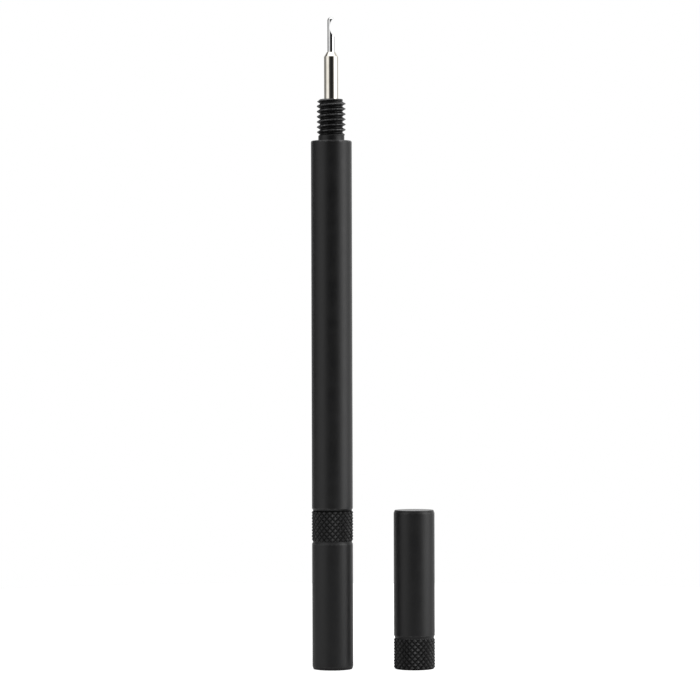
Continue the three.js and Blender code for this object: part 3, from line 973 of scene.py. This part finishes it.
def black_anodised():
    finish = Finish("black_anodised")
    fit, mix, times, math_node = finish.fit, finish.mix, finish.times, finish.math
    drift = finish.noise(scale=0.28, detail=3.0, rough=0.55)
    grain = finish.noise(scale=8.5, rough=0.6)
    speck = finish.noise(scale=21.0, detail=1.0, seed=3.0)
    patches = finish.noise(scale=1.7, detail=3.0, rough=0.7, seed=5.0)
    # rubbed edges and crests: partly real wear, partly painted highlight
    rub_and_highlight = times(finish.wear_and_shading, fit(patches, span=(0.44, 0.68), to=(0.1, 1.9)))
    # the faced ends are smoother than the blasted sides
    normal_z = finish.split(finish.add("ShaderNodeNewGeometry").outputs["Normal"])["Z"]
    faced = fit(math_node("ABSOLUTE", normal_z), span=(0.93, 0.995))

    base = mix(finish.drifting(drift), under=(0.0055, 0.0055, 0.0059), over=(0.0075, 0.0075, 0.0079))
    base = mix(fit(grain, span=(0.55, 0.8), to=(0, 0.5)), under=base, over=(0.012, 0.012, 0.0125))
    # rubbed edges are painted lighter grey, partly as bare metal and partly as painted highlight
    base = mix(times(rub_and_highlight, factor=0.24), under=base, over=(0.11, 0.11, 0.112))
    # recesses and joints are painted near black as shade
    base = mix(times(finish.recess_shade, factor=0.8), under=base, over=(0.002, 0.002, 0.002))

    rough = finish.drifting(drift, to=(0.40, 0.45))
    rough = math_node("ADD", rough, fit(grain, span=(0.3, 0.7), to=(-0.03, 0.03)))
    rough = math_node("SUBTRACT", rough, times(rub_and_highlight, factor=0.08))
    rough = math_node("SUBTRACT", rough, times(faced, factor=0.2))

    plain_shine = 0.38
    shine = math_node("ADD", plain_shine, times(rub_and_highlight, factor=0.25))
    shine = math_node("ADD", shine, times(faced, factor=0.2))
    # recesses also lose most of their reflection, as painted shade
    shine = times(shine, fit(finish.recess_shade, span=(0, 1), to=(1, 0.12)))

    normal = finish.bump(grain, distance=0.006, strength=0.8)
    normal = finish.bump(speck, distance=0.0025, strength=0.7, normal=normal)
    finish.set(
        Base_Color=base, Metallic=0.0, Roughness=rough, Specular_IOR_Level=shine, Normal=normal
    )
    return finish.material


def plain_finish(
    name, drift, tones, grain, roughness, grain_rough, relief, specks=None, worn=None, **shader
):
    """A finish with a slow drift of tone and a fine grain.

    drift and grain describe noises. tones and roughness are the two ends of the drift.
    grain_rough is the roughness the grain adds, and relief is the grain's bump. specks
    colours the grain's peaks, and worn the rubbed edges. shader holds further settings.
    """
    finish = Finish(name)
    drift_noise = finish.noise(detail=3.0, **drift)
    grain_noise = finish.noise(**grain)
    base = finish.mix(finish.drifting(drift_noise), *tones)
    if specks:
        peaks = finish.fit(grain_noise, specks["span"], specks["to"])
        base = finish.mix(peaks, base, specks["colour"])
    if worn:
        base = finish.mix(finish.times(finish.wear_and_shading, worn["share"]), base, worn["colour"])
    rough = finish.math(
        "ADD", finish.drifting(drift_noise, roughness), finish.fit(grain_noise, **grain_rough)
    )
    normal = finish.bump(grain_noise, **relief)
    finish.set(Base_Color=base, Roughness=rough, Normal=normal, **shader)
    return finish.material


def bright_chrome():
    return plain_finish(
        "bright_chrome",
        drift=dict(scale=0.5),
        tones=((0.70, 0.665, 0.59), (0.76, 0.725, 0.655)),
        grain=dict(scale=1.0, detail=3.0, rough=0.6, stretch=(0.25, 0.25, 26.0)),
        worn=dict(share=0.25, colour=(0.82, 0.80, 0.76)),
        roughness=(0.04, 0.06),
        grain_rough=dict(span=(0.35, 0.7), to=(0, 0.02)),
        relief=dict(distance=0.0006, strength=0.5),
        Metallic=1.0,
    )


def ground_tool_steel():
    return plain_finish(
        "ground_tool_steel",
        drift=dict(scale=0.8),
        tones=((0.56, 0.565, 0.57), (0.66, 0.66, 0.655)),
        grain=dict(scale=1.0, detail=4.0, rough=0.65, stretch=(3.0, 3.0, 34.0), seed=2.0),
        worn=dict(share=0.5, colour=(0.85, 0.85, 0.85)),
        roughness=(0.03, 0.045),
        grain_rough=dict(span=(0.35, 0.7), to=(0, 0.03)),
        relief=dict(distance=0.0012, strength=0.6),
        Metallic=1.0,
    )


def bearing_bronze():
    return plain_finish(
        "bearing_bronze",
        drift=dict(scale=0.7),
        tones=((0.36, 0.20, 0.075), (0.46, 0.27, 0.105)),
        grain=dict(scale=14.0),
        specks=dict(span=(0.6, 0.72), to=(0, 0.7), colour=(0.12, 0.06, 0.025)),
        worn=dict(share=0.4, colour=(0.62, 0.42, 0.2)),
        roughness=(0.38, 0.46),
        grain_rough=dict(span=(0.5, 0.7), to=(0, 0.15)),
        relief=dict(distance=-0.006, strength=0.7),
        Metallic=1.0,
    )


def spring_steel():
    return plain_finish(
        "spring_steel",
        drift=dict(scale=0.9, rough=0.55),
        tones=((0.075, 0.085, 0.105), (0.11, 0.105, 0.10)),
        grain=dict(scale=16.0),
        worn=dict(share=0.5, colour=(0.34, 0.34, 0.34)),
        roughness=(0.3, 0.38),
        grain_rough=dict(span=(0.3, 0.7), to=(0, 0.06)),
        relief=dict(distance=0.002, strength=0.6),
        Metallic=1.0,
    )


def bright_steel():
    return plain_finish(
        "bright_steel",
        drift=dict(scale=0.7),
        tones=((0.47, 0.48, 0.49), (0.55, 0.56, 0.57)),
        grain=dict(scale=1.0, detail=3.0, rough=0.6, stretch=(7.0, 7.0, 30.0), seed=1.0),
        worn=dict(share=0.4, colour=(0.78, 0.78, 0.79)),
        roughness=(0.16, 0.22),
        grain_rough=dict(span=(0.35, 0.7), to=(0, 0.06)),
        relief=dict(distance=0.001, strength=0.5),
        Metallic=1.0,
    )


def seal_rubber():
    return plain_finish(
        "seal_rubber",
        drift=dict(scale=0.6),
        tones=((0.010, 0.010, 0.0105), (0.016, 0.016, 0.0155)),
        grain=dict(scale=12.0, detail=3.0, rough=0.6),
        specks=dict(span=(0.62, 0.8), to=(0, 0.5), colour=(0.035, 0.034, 0.032)),
        roughness=(0.6, 0.68),
        grain_rough=dict(span=(0.3, 0.7), to=(0, 0.08)),
        relief=dict(distance=0.008, strength=0.7),
        Metallic=0.0,
        Specular_IOR_Level=0.4,
    )


MATERIALS = {
    "black_anodised": black_anodised(),
    "bright_chrome": bright_chrome(),
    "ground_tool_steel": ground_tool_steel(),
    "bearing_bronze": bearing_bronze(),
    "spring_steel": spring_steel(),
    "bright_steel": bright_steel(),
    "seal_rubber": seal_rubber(),
}

# ---- the pieces ----
piece("barrel", barrel_skin(), IN_WORLD)
for end, place, blade_skin, blade_normal in (
    ("front", AT_FRONT, notch_blade_skin, notch_blade_normal),
    ("rear", AT_REAR, point_blade_skin, point_blade_normal),
):
    piece(f"{end}_nose", nose_skin(), place, sharp_angle=40)
    piece(f"{end}_bush", bush_skin(), place)
    piece(f"{end}_spindle", spindle_skin(), place)
    blade = piece(f"{end}_blade", blade_skin(), place)
    true_normals(blade, place, blade_normal)
    piece(f"{end}_washer", washer_skin(), place)
    piece(f"{end}_clip", clip_skin(), place)
    piece(f"{end}_ball", ball_skin(), place)
    piece(f"{end}_thrust_pad", pad_skin(), place)
for cap, place in (("rear_cap", AT_REAR), ("front_cap", AT_LOOSE_CAP)):
    piece(cap, cap_skin(), place, sharp_angle=28)
    piece(f"{cap}_oring", ring_skin(), place)


# ---- floor, light and camera ----
FLOOR_RADIUS, FLOOR_SIDES = 0.3, 96  # metres, points round the edge
FLOOR_DROP = 0.00001  # metres below the pieces
FLOOR_GLOW, FLOOR_SEEN_GLOW = 0.12, 0.78  # as it lights the pieces, as the camera sees it

# Radiance round the horizon: (azimuth in degrees, level). 0 is towards the camera, 90 is right.
HORIZON = [
    (-180, 0.7), (-160, 0.45), (-147, 0.8), (-138, 0.8), (-135, 0.1), (-114, 0.08),
    (-105, 0.3), (-95, 0.42), (-86, 0.62), (-76, 1.0), (-64, 1.2), (-48, 1.25),
    (-39, 0.95), (-33, 0.4), (-27, 0.08), (-12, 0.04), (10, 0.02), (33, 0.04),
    (42, 0.3), (50, 1.0), (58, 2.3), (79, 3.35), (91, 1.7), (98, 0.85),
    (106, 0.8), (120, 0.68), (138, 0.78), (150, 1.3), (165, 0.9), (180, 0.7),
]
OVERHEAD = 1.8  # the level overhead
LEVEL_UNIT = 8.0  # colours hold levels as shares of this

# camera: mm, and degrees for the roll
FRAME_WIDTH, DISTANCE, SENSOR_WIDTH = 190.35, 820, 36
AIM_X, AIM_Z = 4.91, 86.64
ROLL = 0.17


def pale_floor():
    finish = Finish("pale_floor")
    tone = finish.drifting(finish.noise(scale=0.012))
    grain = finish.noise(scale=1.5, detail=3.0, rough=0.6)
    seen = finish.add("ShaderNodeLightPath").outputs["Is Camera Ray"]
    finish.set(
        Base_Color=finish.mix(tone, under=(0.41, 0.41, 0.41), over=(0.45, 0.45, 0.45)),
        Roughness=finish.fit(grain, span=(0.3, 0.7), to=(0.55, 0.7)),
        Emission_Color=(1, 1, 1, 1),
        Emission_Strength=finish.fit(seen, span=(0, 1), to=(FLOOR_GLOW, FLOOR_SEEN_GLOW)),
    )
    return finish.material


def add_floor():
    mesh = bpy.data.meshes.new("floor")
    bm = bmesh.new()
    angles = [2 * math.pi * i / FLOOR_SIDES for i in range(FLOOR_SIDES)]
    bm.faces.new(
        [
            bm.verts.new((FLOOR_RADIUS * math.cos(angle), FLOOR_RADIUS * math.sin(angle), 0))
            for angle in angles
        ]
    )
    bm.to_mesh(mesh)
    bm.free()
    floor = bpy.data.objects.new("floor", mesh)
    floor.location = (0.0, 0.0, float(cad_box[0].z) - FLOOR_DROP)
    bpy.context.scene.collection.objects.link(floor)
    mesh.materials.append(pale_floor())


def horizon_colour(nodes, x, y):
    """The HORIZON table as a colour ramp over the azimuth."""
    azimuth = nodes.math("ARCTAN2", x, nodes.times(y, factor=-1))
    ramp = nodes.add("ShaderNodeValToRGB")
    nodes.put(ramp.inputs[0], nodes.fit(azimuth, span=(-math.pi, math.pi)))
    elements = ramp.color_ramp.elements
    while len(elements) > 1:
        elements.remove(elements[0])
    for k, (degrees, level) in enumerate(HORIZON):
        position = (degrees + 180) / 360
        element = elements[0] if k == 0 else elements.new(position)
        element.position = position
        element.color = (*[level / LEVEL_UNIT] * 3, 1)
    return ramp.outputs["Color"]


def add_world():
    """A studio round the tool. The camera itself sees plain white."""
    world = bpy.data.worlds.new("studio")
    bpy.context.scene.world = world
    world.use_nodes = True
    world.node_tree.nodes.clear()
    nodes = Nodes(world.node_tree)
    x, y, z = nodes.split(nodes.add("ShaderNodeTexCoord").outputs["Generated"])
    # the strip light on the right is stronger higher up, up to where it fades out;
    # this change also fades out behind the tool
    right = nodes.fit(x, span=(0.25, 0.6), shape="SMOOTHSTEP")
    gain = nodes.fit(z, span=(-0.2, 0.12), to=(-0.5, 0.46))
    below_top = nodes.fit(z, span=(0.15, 0.45), to=(1.0, 0.0))
    not_behind = nodes.fit(y, span=(0.02, 0.3), to=(1.0, 0.0))
    strip = nodes.times(nodes.times(right, below_top), not_behind)
    strength = nodes.math("MULTIPLY_ADD", strip, gain, 1.0)
    around = nodes.scale(horizon_colour(nodes, x, y), strength)
    upwards = nodes.fit(z, span=(0.70, 0.85), shape="SMOOTHSTEP")
    level = nodes.mix(upwards, under=around, over=[OVERHEAD / LEVEL_UNIT] * 3)
    seen = nodes.add("ShaderNodeLightPath").outputs["Is Camera Ray"]
    mix = nodes.add("ShaderNodeMixShader")
    nodes.put(mix.inputs[0], seen)
    for socket, colour, power in (
        (mix.inputs[1], level, LEVEL_UNIT),
        (mix.inputs[2], (1, 1, 1, 1), 1.0),
    ):
        background = nodes.add("ShaderNodeBackground")
        nodes.put(background.inputs["Color"], colour)
        nodes.put(background.inputs["Strength"], power)
        nodes.put(socket, background.outputs[0])
    output = nodes.add("ShaderNodeOutputWorld")
    nodes.put(output.inputs["Surface"], mix.outputs[0])


def add_camera():
    """Level, at about half the tool's height, with a slight roll."""
    data = bpy.data.cameras.new("camera")
    data.sensor_width = SENSOR_WIDTH
    data.lens = SENSOR_WIDTH * DISTANCE / FRAME_WIDTH
    data.clip_start = 0.02
    data.clip_end = 50
    camera = bpy.data.objects.new("camera", data)
    bpy.context.scene.collection.objects.link(camera)
    camera.location = (AIM_X * MM, -DISTANCE * MM, AIM_Z * MM)
    camera.rotation_euler = (math.pi / 2, math.radians(ROLL), 0)
    bpy.context.scene.camera = camera


add_floor()
add_world()
add_camera()
bpy.context.scene.view_settings.view_transform = "Standard"
